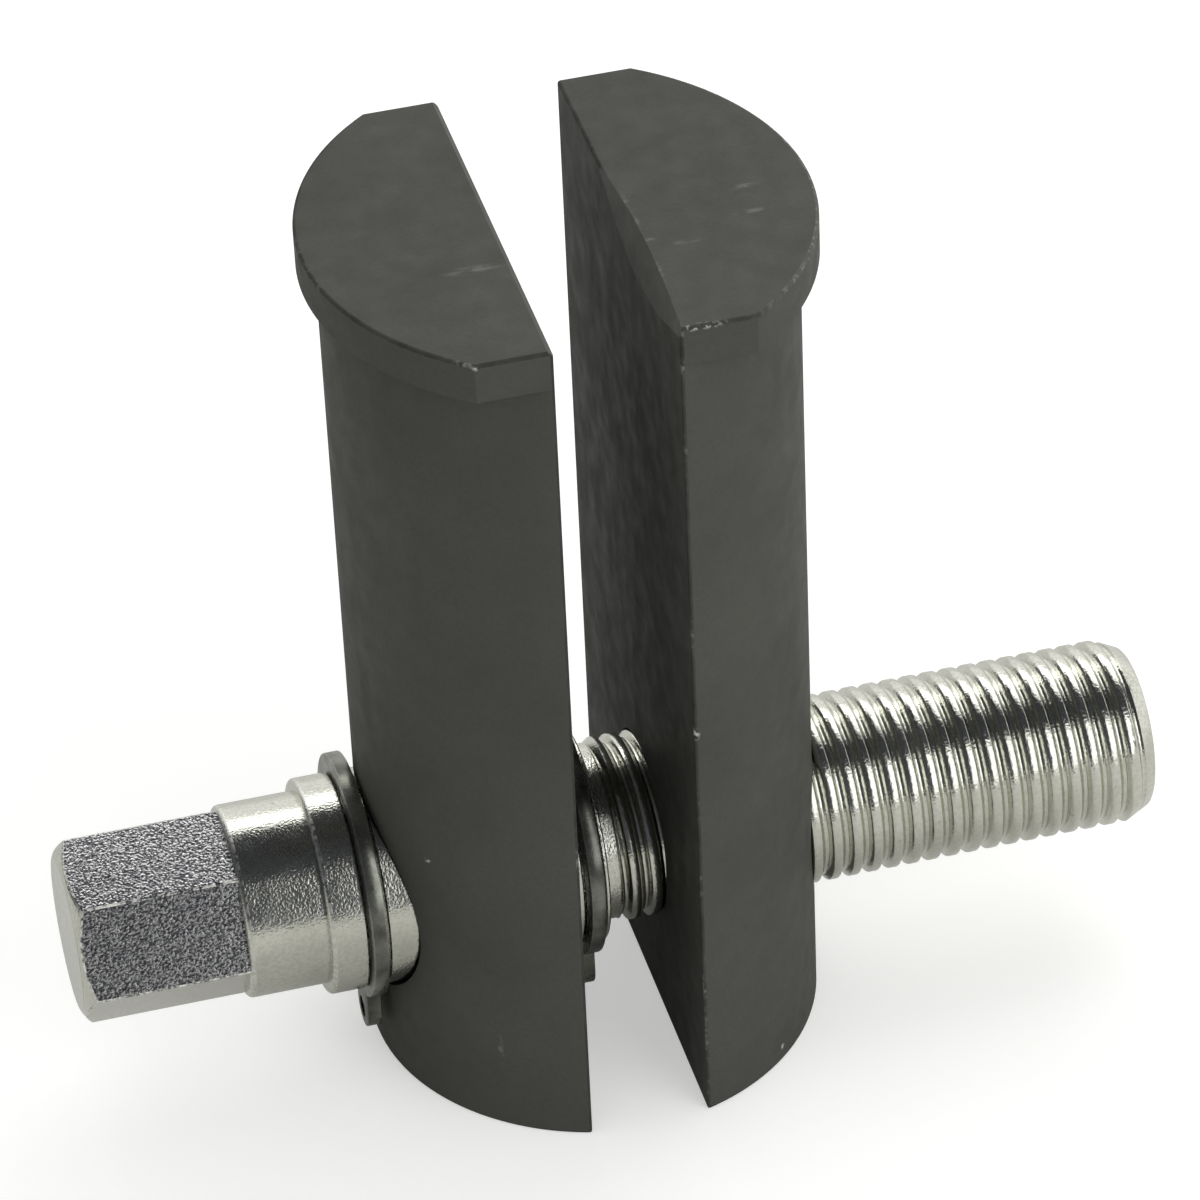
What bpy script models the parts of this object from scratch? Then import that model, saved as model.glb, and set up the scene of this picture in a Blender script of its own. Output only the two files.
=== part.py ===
"""Bearing race remover: two lipped half-round jaws that a captive screw spreads inside a bearing race.

The tool stands upright on the jaws' feet, +Z up. The screw lies along X through both jaws, its
hexagon at -X. Stations along X are counted from the middle of the gap between the jaws at rest,
and the whole tool is then moved so that the origin lies under the middle of its bounding box.
The thread is right-handed, so the right jaw opens as the screw turns anticlockwise, seen from
the hexagon.
"""
import math

import bmesh
import bpy
from mathutils import Vector

MM = 0.001

# Jaws
JAW_HEIGHT = 71.5 * MM
JAW_HALF_WIDTH = 17.0 * MM
JAW_DEPTH = 12.8 * MM
GAP_AT_REST = 9.0 * MM
EDGE_BREAK = 0.4 * MM
EDGE_BREAK_ANGLE = math.radians(50)

# Chamfers along the jaws' top inner edges; the right jaw's widens towards the front
LEFT_TOP_CHAMFER = 0.6 * MM
RIGHT_TOP_CHAMFER_BACK = 0.5 * MM
RIGHT_TOP_CHAMFER_FRONT = 1.2 * MM

# Lips: each overhangs the round side, and its two ends are flats flush with the jaw's sides
LIP_HEIGHT = 3.1 * MM
LIP_OVERHANG = 1.3 * MM
LIP_FLAT = 5.6 * MM

# Screw, from the hexagon to the threaded end
SCREW_HEIGHT = 15.0 * MM
HEX_ACROSS_FLATS = 12.7 * MM
HEX_LENGTH = 12.4 * MM
HEX_CHAMFER = 0.8 * MM
HEX_FACE_INSET = 1.3 * MM
HEX_TURN = math.radians(9)
SHOULDER_DIAMETER = 14.8 * MM
SHOULDER_LENGTH = 6.1 * MM
COLLAR_LENGTH = 2.8 * MM
JOURNAL_DIAMETER = 16.6 * MM
JOURNAL_CHAMFER = 0.35 * MM
JOURNAL_PLAY = 2.5 * MM
RING_LAND = 0.4 * MM
NECK_DIAMETER = 13.6 * MM
NECK_LENGTH = 1.1 * MM

# Thread: 9/16 inch, 16 turns to the inch, with 60 degree grooves between broad crests
THREAD_DIAMETER = 14.2875 * MM
THREAD_PITCH = 1.5875 * MM
THREAD_FLANK = math.radians(30)
CREST_SHARE = 0.47
ROOT_SHARE = 0.125
THREAD_LENGTH = 42.7 * MM
THREAD_END_TAPER = 1.7 * MM
THREAD_END_DROP = 0.8 * MM
THREAD_RUN_OUT_TURNS = 0.5
THREAD_FACETS = 24

# Retaining rings
GROOVE_DEPTH = 0.7 * MM
RING_THICKNESS = 1.2 * MM
RING_TOP_WIDTH = 2.0 * MM
RING_END_WIDTH = 1.2 * MM
RING_OPENING = 2.6 * MM
EAR_REACH = 4.0 * MM
EAR_RADIUS = 1.6 * MM
EAR_HOLE_DIAMETER = 1.7 * MM

# Clearances between neighbours
BORE_CLEARANCE = 0.3 * MM
THREAD_CLEARANCE = 0.15 * MM
THREAD_ROOT_CLEARANCE = 0.2 * MM
RING_CLEARANCE = 0.2 * MM
SEAT_CLEARANCE = 0.3 * MM

# Facets of a full circle, and of each jaw's arcs from end to end
ROUND_FACETS = 48
JAW_FACETS = 30
LIP_FACETS = 24

# How far one solid reaches into another where the two are joined, and what counts as one point
OVERLAP = 1.0 * MM
WELD = 0.01 * MM

# Stations along X, from the middle of the gap
LEFT_FLAT = -GAP_AT_REST / 2
RIGHT_FLAT = GAP_AT_REST / 2
LEFT_ROUND = LEFT_FLAT - JAW_DEPTH
GROOVE_WIDTH = RING_THICKNESS + 2 * RING_CLEARANCE
OUTER_GROOVE = LEFT_ROUND - SEAT_CLEARANCE + RING_CLEARANCE - GROOVE_WIDTH
INNER_GROOVE = LEFT_FLAT + JOURNAL_PLAY - RING_CLEARANCE
COLLAR_START = OUTER_GROOVE - COLLAR_LENGTH
SHOULDER_START = COLLAR_START - SHOULDER_LENGTH
HEX_START = SHOULDER_START - HEX_LENGTH
NECK_START = INNER_GROOVE + GROOVE_WIDTH + RING_LAND
THREAD_START = NECK_START + NECK_LENGTH
THREAD_END = THREAD_START + THREAD_LENGTH
ORIGIN_SHIFT = -(HEX_START + THREAD_END) / 2

JOURNAL_RADIUS = JOURNAL_DIAMETER / 2
NECK_RADIUS = NECK_DIAMETER / 2
THREAD_RADIUS = THREAD_DIAMETER / 2
THREAD_CREST = THREAD_PITCH * CREST_SHARE
THREAD_ROOT = THREAD_PITCH * ROOT_SHARE
THREAD_DEPTH = (THREAD_PITCH - THREAD_CREST - THREAD_ROOT) / 2 / math.tan(THREAD_FLANK)
CORE_RADIUS = THREAD_RADIUS - THREAD_DEPTH
GROOVE_RADIUS = JOURNAL_RADIUS - GROOVE_DEPTH
NECK_END_RADIUS = CORE_RADIUS - THREAD_DEPTH / 4

BLACK_OXIDE = ((0.052, 0.052, 0.047), 0.48, 0.85)
ZINC = ((0.63, 0.63, 0.58), 0.28, 1.0)
SPRING_STEEL = ((0.045, 0.045, 0.043), 0.4, 0.85)


def clear_scene():
    for old in list(bpy.data.objects):
        bpy.data.objects.remove(old, do_unlink=True)


def new_collection(name):
    collection = bpy.data.collections.new(name)
    bpy.context.scene.collection.children.link(collection)
    return collection


def new_material(name, colour, roughness, metallic):
    material = bpy.data.materials.new(name)
    material.use_nodes = True
    shader = material.node_tree.nodes["Principled BSDF"]
    shader.inputs["Base Color"].default_value = (*colour, 1.0)
    shader.inputs["Roughness"].default_value = roughness
    shader.inputs["Metallic"].default_value = metallic
    return material


def add_object(name, data, collection, parent=None):
    obj = bpy.data.objects.new(name, data)
    collection.objects.link(obj)
    obj.parent = parent
    return obj


def as_cutter(obj):
    obj.hide_render = True
    obj.display_type = 'WIRE'
    return obj


def boolean(obj, other, operation):
    modifier = obj.modifiers.new(f"{operation.lower()} {other.name}", 'BOOLEAN')
    modifier.operation = operation
    modifier.object = other
    modifier.solver = 'EXACT'


def shade(obj, material, angle=35):
    obj.data.materials.append(material)
    obj.data.shade_smooth()
    obj.data.set_sharp_from_angle(angle=math.radians(angle))


def turned_solid(name, profile, collection, parent, facets=ROUND_FACETS):
    """A solid of revolution about local Z; profile is (station, radius) pairs from low Z to high Z."""
    mesh = bpy.data.meshes.new(name)
    points = [(radius, 0, station) for station, radius in reversed(profile)]
    mesh.from_pydata(points, [(i, i + 1) for i in range(len(points) - 1)], [])
    obj = add_object(name, mesh, collection, parent)
    screw = obj.modifiers.new("turn", 'SCREW')
    screw.axis = 'Z'
    screw.steps = facets
    screw.render_steps = facets
    screw.use_merge_vertices = True
    screw.merge_threshold = WELD
    return obj


def arc_points(centre, radius, start, end, steps):
    """Points along an arc in a plane, both ends included, angles in radians."""
    return [
        (centre[0] + radius * math.cos(start + (end - start) * i / steps),
         centre[1] + radius * math.sin(start + (end - start) * i / steps))
        for i in range(steps + 1)
    ]


def plate(name, outlines, low, high, collection, parent=None):
    """A flat plate between two heights, from closed 2D outlines; an outline inside another is a hole."""
    curve = bpy.data.curves.new(name, 'CURVE')
    curve.dimensions = '2D'
    curve.fill_mode = 'BOTH'
    curve.extrude = (high - low) / 2
    for outline in outlines:
        spline = curve.splines.new('POLY')
        spline.points.add(len(outline) - 1)
        for point, (x, y) in zip(spline.points, outline):
            point.co = (x, y, 0, 1)
        spline.use_cyclic_u = True
    guide = add_object(name + " outline", curve, collection)
    bpy.context.view_layer.update()
    evaluated = guide.evaluated_get(bpy.context.evaluated_depsgraph_get())
    mesh = bpy.data.meshes.new_from_object(evaluated)
    bpy.data.objects.remove(guide, do_unlink=True)
    bm = bmesh.new()
    bm.from_mesh(mesh)
    bmesh.ops.remove_doubles(bm, verts=bm.verts, dist=WELD)
    bmesh.ops.translate(bm, verts=bm.verts, vec=(0, 0, (low + high) / 2))
    bmesh.ops.recalc_face_normals(bm, faces=bm.faces)
    bm.to_mesh(mesh)
    bm.free()
    mesh.name = name
    return add_object(name, mesh, collection, parent)


def segment_arc(start_depth, half_width, depth, steps):
    """An arc bulging to +X: from (start_depth, -half_width) through (depth, 0) to the mirrored end."""
    rise = depth - start_depth
    radius = (half_width ** 2 + rise ** 2) / (2 * rise)
    reach = math.atan2(half_width, radius - rise)
    return arc_points((depth - radius, 0), radius, -reach, reach, steps)


def break_edges(prism):
    """Breaks the sharp edges of a plain prism, before it is joined to another."""
    bevel = prism.modifiers.new("edge break", 'BEVEL')
    bevel.width = EDGE_BREAK
    bevel.segments = 1
    bevel.limit_method = 'ANGLE'
    bevel.angle_limit = EDGE_BREAK_ANGLE


def top_chamfer(name, side, back, front, collection, parent):
    """A wedge that cuts the chamfer along a jaw's top inner edge, from its widths at the back and the front."""
    bm = bmesh.new()
    for y in (-JAW_HALF_WIDTH - OVERLAP, JAW_HALF_WIDTH + OVERLAP):
        width = (front + back) / 2 + (back - front) / 2 * y / JAW_HALF_WIDTH
        for x, z in ((width + OVERLAP, OVERLAP), (-OVERLAP, OVERLAP), (-OVERLAP, -width - OVERLAP)):
            bm.verts.new((side * x, y, JAW_HEIGHT + z))
    bmesh.ops.convex_hull(bm, input=bm.verts)
    bmesh.ops.recalc_face_normals(bm, faces=bm.faces)
    mesh = bpy.data.meshes.new(name)
    bm.to_mesh(mesh)
    bm.free()
    return as_cutter(add_object(name, mesh, collection, parent))


def jaw_blank(name, side, chamfer, cutters, collection):
    """A jaw without its cross hole. Its flat face lies at local X 0 and it bulges towards side."""
    def facing(points):
        return [(side * x, y) for x, y in points]

    body = facing(segment_arc(0, JAW_HALF_WIDTH, JAW_DEPTH, JAW_FACETS))
    lip_arc = segment_arc(LIP_FLAT, JAW_HALF_WIDTH, JAW_DEPTH + LIP_OVERHANG, LIP_FACETS)
    lip = facing([(0, -JAW_HALF_WIDTH), *lip_arc, (0, JAW_HALF_WIDTH)])
    underside = JAW_HEIGHT - LIP_HEIGHT
    jaw = plate(name, [body], 0, underside + LIP_HEIGHT / 2, collection)
    lip_plate = plate(name + "_lip", [lip], underside, JAW_HEIGHT, cutters, jaw)
    break_edges(jaw)
    break_edges(lip_plate)
    boolean(jaw, as_cutter(lip_plate), 'UNION')
    boolean(jaw, top_chamfer(name + "_top_chamfer", side, *chamfer, cutters, jaw), 'DIFFERENCE')
    return jaw


def hexagon(collection, parent):
    """The male hexagon, its outer end turned down to a chamfered round face."""
    corner = HEX_ACROSS_FLATS / 2 / math.cos(math.pi / 6)
    bm = bmesh.new()
    bmesh.ops.create_cone(bm, cap_ends=True, segments=6, radius1=corner, radius2=corner, depth=HEX_LENGTH + OVERLAP)
    prism_mesh = bpy.data.meshes.new("hexagon")
    bm.to_mesh(prism_mesh)
    bm.free()
    prism = add_object("hexagon", prism_mesh, collection, parent)
    prism.location.z = HEX_START + (HEX_LENGTH + OVERLAP) / 2
    prism.rotation_euler.z = HEX_TURN
    face = corner - HEX_FACE_INSET
    slope = HEX_FACE_INSET / HEX_CHAMFER
    wide = corner + OVERLAP
    envelope = turned_solid("hexagon_chamfer", [
        (HEX_START, 0),
        (HEX_START, face),
        (HEX_START + (wide - face) / slope, wide),
        (SHOULDER_START + 2 * OVERLAP, wide),
        (SHOULDER_START + 2 * OVERLAP, 0),
    ], collection, parent)
    boolean(prism, as_cutter(envelope), 'INTERSECT')
    return as_cutter(prism)


def groove(start):
    """Profile points of a ring groove that starts at a station of the journal."""
    return [
        (start, JOURNAL_RADIUS),
        (start, GROOVE_RADIUS),
        (start + GROOVE_WIDTH, GROOVE_RADIUS),
        (start + GROOVE_WIDTH, JOURNAL_RADIUS),
    ]


def threaded_solid(name, start, turns, root, crest, clearance, collection, parent):
    """A threaded bar: one pitch of its outline, swept up a right-hand helix and welded turn to turn."""
    half_crest = THREAD_CREST / 2 + clearance * (1 / math.cos(THREAD_FLANK) - math.tan(THREAD_FLANK))
    half_root = half_crest + (crest - root) * math.tan(THREAD_FLANK)
    outline = [
        (root, -half_root),
        (crest, -half_crest),
        (crest, half_crest),
        (root, half_root),
        (root, THREAD_PITCH - half_root),
    ]
    bm = bmesh.new()
    points = [bm.verts.new((radius, 0, start + shift)) for radius, shift in outline]
    for one, other in zip(points, points[1:]):
        bm.edges.new((one, other))
    bmesh.ops.spin(
        bm, geom=[*bm.verts, *bm.edges], cent=(0, 0, 0), axis=(0, 0, 1),
        dvec=(0, 0, THREAD_PITCH / THREAD_FACETS), angle=2 * math.pi * turns,
        steps=turns * THREAD_FACETS, use_duplicate=False,
    )
    bmesh.ops.remove_doubles(bm, verts=bm.verts, dist=WELD)
    close_ends(bm)
    mesh = bpy.data.meshes.new(name)
    bm.to_mesh(mesh)
    bm.free()
    return as_cutter(add_object(name, mesh, collection, parent))


def close_ends(bm):
    """Closes both ends of a swept thread with a fan of faces around a point on the axis."""
    rim = [edge for edge in bm.edges if edge.is_boundary]
    caps = bmesh.ops.holes_fill(bm, edges=rim, sides=0)["faces"]
    for vert in bmesh.ops.poke(bm, faces=caps)["verts"]:
        vert.co.x = 0
        vert.co.y = 0
    bmesh.ops.recalc_face_normals(bm, faces=bm.faces)


def sink_run_out(mesh):
    """Lowers the crest before and over the run-out, so that the thread fades into the neck."""
    length = THREAD_RUN_OUT_TURNS * THREAD_PITCH
    for vert in mesh.vertices:
        radius = math.hypot(vert.co.x, vert.co.y)
        progress = (vert.co.z - THREAD_START) / length
        if radius > CORE_RADIUS + THREAD_DEPTH / 2 and progress < 1:
            lowered = CORE_RADIUS + THREAD_DEPTH * max(progress, 0.1)
            vert.co.x *= lowered / radius
            vert.co.y *= lowered / radius


def thread(collection, parent):
    """The screw's threaded bar, cut to length with a tapered end."""
    turns = math.ceil(THREAD_LENGTH / THREAD_PITCH) + 2
    start = THREAD_START - THREAD_PITCH
    bar = threaded_solid("threaded_bar", start, turns, CORE_RADIUS, THREAD_RADIUS, 0, collection, parent)
    sink_run_out(bar.data)
    wide = THREAD_RADIUS + OVERLAP
    slope = THREAD_END_DROP / THREAD_END_TAPER
    envelope = turned_solid("thread_end", [
        (start - THREAD_PITCH, 0),
        (start - THREAD_PITCH, wide),
        (THREAD_END - THREAD_END_TAPER - (wide - THREAD_RADIUS) / slope, wide),
        (THREAD_END, THREAD_RADIUS - THREAD_END_DROP),
        (THREAD_END, 0),
    ], collection, parent)
    boolean(bar, as_cutter(envelope), 'INTERSECT')
    return bar


def expander_screw(collection, cutters, axis):
    """The one-piece screw: a turned shank with its grooves, joined to the hexagon and the threaded bar."""
    shank = [
        (SHOULDER_START, 0),
        (SHOULDER_START, SHOULDER_DIAMETER / 2),
        (COLLAR_START, SHOULDER_DIAMETER / 2),
        (COLLAR_START, JOURNAL_RADIUS - JOURNAL_CHAMFER),
        (COLLAR_START + JOURNAL_CHAMFER, JOURNAL_RADIUS),
        *groove(OUTER_GROOVE),
        *groove(INNER_GROOVE),
        (NECK_START, JOURNAL_RADIUS),
        (NECK_START, NECK_RADIUS),
        (THREAD_START, NECK_RADIUS),
        (THREAD_START + NECK_RADIUS - NECK_END_RADIUS, NECK_END_RADIUS),
        (THREAD_START + NECK_RADIUS - NECK_END_RADIUS, 0),
    ]
    screw = turned_solid("expander_screw", shank, collection, axis)
    boolean(screw, hexagon(cutters, axis), 'UNION')
    boolean(screw, thread(cutters, axis), 'UNION')
    shade(screw, new_material("zinc_plate", *ZINC))
    return screw


def left_jaw(collection, cutters, root, axis):
    """The jaw with the plain cross bore in which the journal turns."""
    jaw = jaw_blank("left_jaw", -1, (LEFT_TOP_CHAMFER, LEFT_TOP_CHAMFER), cutters, collection)
    jaw.parent = root
    jaw.location.x = LEFT_FLAT
    radius = JOURNAL_RADIUS + BORE_CLEARANCE
    bore = turned_solid("plain_bore", [
        (LEFT_ROUND - OVERLAP, 0),
        (LEFT_ROUND - OVERLAP, radius),
        (LEFT_FLAT + OVERLAP, radius),
        (LEFT_FLAT + OVERLAP, 0),
    ], cutters, axis)
    boolean(jaw, as_cutter(bore), 'DIFFERENCE')
    shade(jaw, new_material("left_jaw_black_oxide", *BLACK_OXIDE))
    return jaw


def right_jaw(collection, cutters, root, axis):
    """The jaw that is tapped for the screw, in step with the screw's own ridge."""
    chamfer = (RIGHT_TOP_CHAMFER_BACK, RIGHT_TOP_CHAMFER_FRONT)
    jaw = jaw_blank("right_jaw", 1, chamfer, cutters, collection)
    jaw.parent = root
    jaw.location.x = RIGHT_FLAT
    turns_before = math.floor((RIGHT_FLAT - THREAD_START) / THREAD_PITCH) - 1
    start = THREAD_START + turns_before * THREAD_PITCH
    turns = math.ceil(JAW_DEPTH / THREAD_PITCH) + 4
    root = CORE_RADIUS + THREAD_ROOT_CLEARANCE
    crest = THREAD_RADIUS + THREAD_CLEARANCE
    tap = threaded_solid("tap", start, turns, root, crest, THREAD_CLEARANCE, cutters, axis)
    boolean(jaw, tap, 'DIFFERENCE')
    shade(jaw, new_material("right_jaw_black_oxide", *BLACK_OXIDE))
    return jaw


def ring_outlines():
    """The ring's outline and its two plier holes, the opening at local +X."""
    inner = GROOVE_RADIUS + RING_CLEARANCE
    outer = inner + (RING_TOP_WIDTH + RING_END_WIDTH) / 2
    offset = (RING_TOP_WIDTH - RING_END_WIDTH) / 2
    ear_centre = inner + EAR_REACH - EAR_RADIUS
    ear_side = RING_OPENING / 2 + EAR_RADIUS
    opening = math.asin(RING_OPENING / 2 / inner)
    lobe = math.atan2(ear_side + EAR_RADIUS, ear_centre)
    ring = arc_points((-offset, 0), outer, lobe + 0.08, 2 * math.pi - lobe - 0.08, 40)
    lower_ear = arc_points((ear_centre, -ear_side), EAR_RADIUS, -math.pi / 2, math.pi / 2, 8)
    inside = arc_points((0, 0), inner, 2 * math.pi - opening, opening, 40)
    upper_ear = arc_points((ear_centre, ear_side), EAR_RADIUS, -math.pi / 2, math.pi / 2, 8)
    outline = ring + lower_ear + inside + upper_ear
    holes = [
        arc_points((ear_centre, side * ear_side), EAR_HOLE_DIAMETER / 2, 0, 2 * math.pi * 11 / 12, 11)
        for side in (-1, 1)
    ]
    return [outline, *holes]


def retaining_ring(name, start, collection, axis):
    """An external circlip whose thickness starts at a station of the journal."""
    ring = plate(name, ring_outlines(), start, start + RING_THICKNESS, collection, axis)
    shade(ring, new_material(name + "_steel", *SPRING_STEEL), 50)
    return ring


def add_axes():
    """The tool's root, and the screw's axis, whose local Z runs along +X."""
    root = bpy.data.objects.new("race_remover", None)
    root.location = Vector((ORIGIN_SHIFT, 0, 0))
    axis = bpy.data.objects.new("screw_axis", None)
    axis.parent = root
    axis.location = Vector((0, 0, SCREW_HEIGHT))
    axis.rotation_euler = (0, math.radians(90), 0)
    for empty in (root, axis):
        bpy.context.scene.collection.objects.link(empty)
    return root, axis


def build():
    clear_scene()
    parts = new_collection("bearing_race_remover")
    cutters = new_collection("cutters")
    root, axis = add_axes()
    left_jaw(parts, cutters, root, axis)
    right_jaw(parts, cutters, root, axis)
    expander_screw(parts, cutters, axis)
    retaining_ring("outer_retaining_ring", OUTER_GROOVE + RING_CLEARANCE, parts, axis)
    retaining_ring("inner_retaining_ring", INNER_GROOVE + RING_CLEARANCE, parts, axis)
    bpy.context.view_layer.update()


build()
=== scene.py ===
# %% [markdown]
# # A bearing race remover
#
# This tool pulls the outer race of a bearing out of its seat. Two half-round steel jaws stand side by
# side, and a screw with a hexagon end spreads them until their lips catch behind the race.
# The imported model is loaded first. It fixes where every solid is, and each piece made below takes
# its place from that model, so nothing has to be fitted by eye.

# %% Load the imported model
import math

import bmesh
import bpy
from mathutils import Matrix, Vector


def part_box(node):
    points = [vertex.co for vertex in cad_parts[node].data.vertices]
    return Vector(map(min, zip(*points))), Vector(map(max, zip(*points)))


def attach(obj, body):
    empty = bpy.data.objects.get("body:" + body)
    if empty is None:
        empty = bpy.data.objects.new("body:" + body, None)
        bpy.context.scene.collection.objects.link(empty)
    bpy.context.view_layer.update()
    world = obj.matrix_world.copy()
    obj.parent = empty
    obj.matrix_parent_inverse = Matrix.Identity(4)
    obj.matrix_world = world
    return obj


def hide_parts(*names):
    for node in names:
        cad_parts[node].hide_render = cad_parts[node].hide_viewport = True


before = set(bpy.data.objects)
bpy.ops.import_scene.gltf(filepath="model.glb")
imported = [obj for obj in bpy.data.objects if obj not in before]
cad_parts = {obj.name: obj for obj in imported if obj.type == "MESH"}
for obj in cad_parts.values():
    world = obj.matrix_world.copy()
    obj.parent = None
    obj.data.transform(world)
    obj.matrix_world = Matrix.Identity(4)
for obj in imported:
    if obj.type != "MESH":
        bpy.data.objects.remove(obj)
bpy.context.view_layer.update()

# %% [markdown]
# The shared measures come next. The screw lies along X, so most of its places are stations along X,
# counted from the middle of the gap between the jaws.

# %% Shared measures
MM = 0.001
left_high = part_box("left_jaw")[1]
LEFT_FLAT = left_high.x
RIGHT_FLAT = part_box("right_jaw")[0].x
GAP_MIDDLE = (LEFT_FLAT + RIGHT_FLAT) / 2
JAW_TOP = left_high.z
JAW_HALF_WIDTH = left_high.y
AXIS = Vector((0, 0, 15.0 * MM))
print("gap between the jaws:", round((RIGHT_FLAT - LEFT_FLAT) / MM, 2), "mm")

# %% [markdown]
# ## Helpers for making solids
#
# Every solid starts as a bmesh, Blender's editable mesh. One way to keep it is to turn the bmesh into
# an object at the origin, with its place in its vertices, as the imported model's own nodes have. Its
# normals are worked out afresh first, because a spun or pushed-up shape can be inside out.


# %% Turn a bmesh into an object at the origin
def solid(bm, name):
    bmesh.ops.recalc_face_normals(bm, faces=bm.faces)
    mesh = bpy.data.meshes.new(name)
    bm.to_mesh(mesh)
    bm.free()
    obj = bpy.data.objects.new(name, mesh)
    bpy.context.scene.collection.objects.link(obj)
    return obj


# %% [markdown]
# A maker joins metal or cuts it away. Here two solids are joined, or one is cut from the other, with a
# Boolean modifier. Its result is kept as the piece's mesh at once, so that the next step can work on
# real faces, and the cutter is thrown away.


# %% Join two solids, or cut one from the other
def combine(piece, tool, operation):
    modifier = piece.modifiers.new("combine", "BOOLEAN")
    modifier.operation = operation
    modifier.object = tool
    modifier.solver = "EXACT"
    bpy.context.view_layer.update()
    shaped = piece.evaluated_get(bpy.context.evaluated_depsgraph_get())
    mesh = bpy.data.meshes.new_from_object(shaped)
    piece.modifiers.clear()
    piece.data = mesh
    bpy.data.objects.remove(tool)
    print(f"{piece.name}: {operation.lower()} leaves {len(mesh.polygons)} faces")


# %% [markdown]
# A real machined edge is never perfectly sharp: it has a small round that catches the light, and a
# dark finish wears thin there first. The bevel operator makes the round. Its faces are also marked in
# a face attribute called `edge_wear_and_highlight`, which the finishes read later to colour just those
# faces: as wear, and on the screw and the rings also as a painted highlight.


# %% Round the sharp edges and mark them
def round_edges(bm, width, chosen=None, segments=3, sharper_than=40, clamp=True):
    marks = bm.faces.layers.float.get("edge_wear_and_highlight") or bm.faces.layers.float.new("edge_wear_and_highlight")
    limit = math.radians(sharper_than)
    edges = [e for e in bm.edges if e.is_manifold and e.is_convex and e.calc_face_angle() > limit]
    if chosen:
        edges = [e for e in edges if chosen(e)]
    rounded = bmesh.ops.bevel(
        bm, geom=edges, offset=width, offset_type="OFFSET", segments=segments, profile=0.5,
        affect="EDGES", clamp_overlap=clamp, material=-1,
    )
    for face in rounded["faces"]:
        face[marks] = 1.0


# %% [markdown]
# Some edges only appear when two solids meet, such as the rim of a bore. The same rounding works on
# them when the object's mesh goes into a bmesh and back.


# %% Round edges of a solid that is an object already
def round_edges_of(piece, width, chosen=None, **how):
    bm = bmesh.new()
    bm.from_mesh(piece.data)
    round_edges(bm, width, chosen, **how)
    bm.to_mesh(piece.data)
    bm.free()
    print(f"{piece.name}: edges rounded over {round(width / MM, 2)} mm")


# %% [markdown]
# Most of the screw is turned on a lathe, and a lathe is easy to copy: a profile of points is drawn
# above the axis and the spin operator sweeps it once round. Points on the axis itself are merged, so
# the ends close.


# %% Spin a profile round the screw's axis
TURN_STEPS = 144
MERGE = 0.002 * MM


def turned(name, profile):
    bm = bmesh.new()
    points = [bm.verts.new((GAP_MIDDLE + x * MM, 0, AXIS.z + r * MM)) for x, r in profile]
    for one, other in zip(points, points[1:]):
        bm.edges.new((one, other))
    bmesh.ops.spin(
        bm, geom=[*bm.verts, *bm.edges], cent=AXIS, axis=(1, 0, 0), dvec=(0, 0, 0),
        angle=2 * math.pi, steps=TURN_STEPS, use_merge=True, use_duplicate=False,
    )
    bmesh.ops.remove_doubles(bm, verts=bm.verts, dist=MERGE)
    return solid(bm, name)


# %% [markdown]
# A finished piece gets its material, smooth shading with the hard edges kept, and a weighted normal
# modifier, which makes the big flat faces shade flat right up to their rounded edges. Then it rides on
# the body that carries it, and the node of the imported model that it replaces is hidden.


# %% Finish a piece and place it on its body
def finish_piece(piece, material, body, cad_node, hard_angle=35):
    piece.data.materials.clear()
    piece.data.materials.append(material)
    piece.data.shade_smooth()
    piece.data.set_sharp_from_angle(angle=math.radians(hard_angle))
    weighted = piece.modifiers.new("weighted normals", "WEIGHTED_NORMAL")
    weighted.keep_sharp = True
    weighted.weight = 90
    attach(piece, body)
    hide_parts(cad_node)
    triangles = sum(len(p.vertices) - 2 for p in piece.data.polygons)
    print(f"{piece.name}: {triangles} triangles, rides on {body}")


# %% [markdown]
# ## Finishes
#
# A finish here is a small node tree on the Principled shader, read from Object coordinates, which are
# metres fixed to the piece. A helper adds nodes by type and links them by socket name, or by number
# where several sockets share a name. That keeps each recipe short enough to read as a list of what the
# real surface shows.


# %% A small helper for node trees
def new_finish(name):
    material = bpy.data.materials.new(name)
    material.use_nodes = True
    return material, material.node_tree.nodes["Principled BSDF"]


def socket_of(made, key):
    if key[0] == "i" and key[1:].isdigit():
        return made.inputs[int(key[1:])]
    return made.inputs[key.replace("_", " ")]


def node(material, kind, settings=None, **inputs):
    made = material.node_tree.nodes.new("ShaderNode" + kind)
    for key, value in (settings or {}).items():
        setattr(made, key, value)
    for key, value in inputs.items():
        socket = socket_of(made, key)
        if isinstance(value, bpy.types.NodeSocket):
            material.node_tree.links.new(value, socket)
        else:
            socket.default_value = value
    return made


def link(material, output, socket):
    material.node_tree.links.new(output, socket)


# %% [markdown]
# Nearly every finish needs the same few steps: noise of some grain size, a ramp that picks out part of
# it, a mix of two colours, and the product or the highest of some factors. Each gets a short name.


# %% Noise, ramps and mixes that every finish uses
def noise(material, scale, detail=3.0, stretch=(1, 1, 1)):
    place = node(material, "TexCoord").outputs["Object"]
    mapped = node(material, "Mapping", Vector=place, Scale=stretch).outputs["Vector"]
    return node(material, "TexNoise", Vector=mapped, Scale=scale, Detail=detail).outputs["Fac"]


def ramp(material, value, low, high, start=0.0, end=1.0):
    return node(
        material, "MapRange", {"clamp": True}, Value=value,
        From_Min=low, From_Max=high, To_Min=start, To_Max=end,
    ).outputs["Result"]


def blend_colours(material, factor, one, other):
    mix = node(material, "Mix", {"data_type": "RGBA"}, i0=factor, i6=one, i7=other)
    return mix.outputs[2]


def multiply(material, one, other):
    return node(material, "Math", {"operation": "MULTIPLY"}, i0=one, i1=other).outputs[0]


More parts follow.
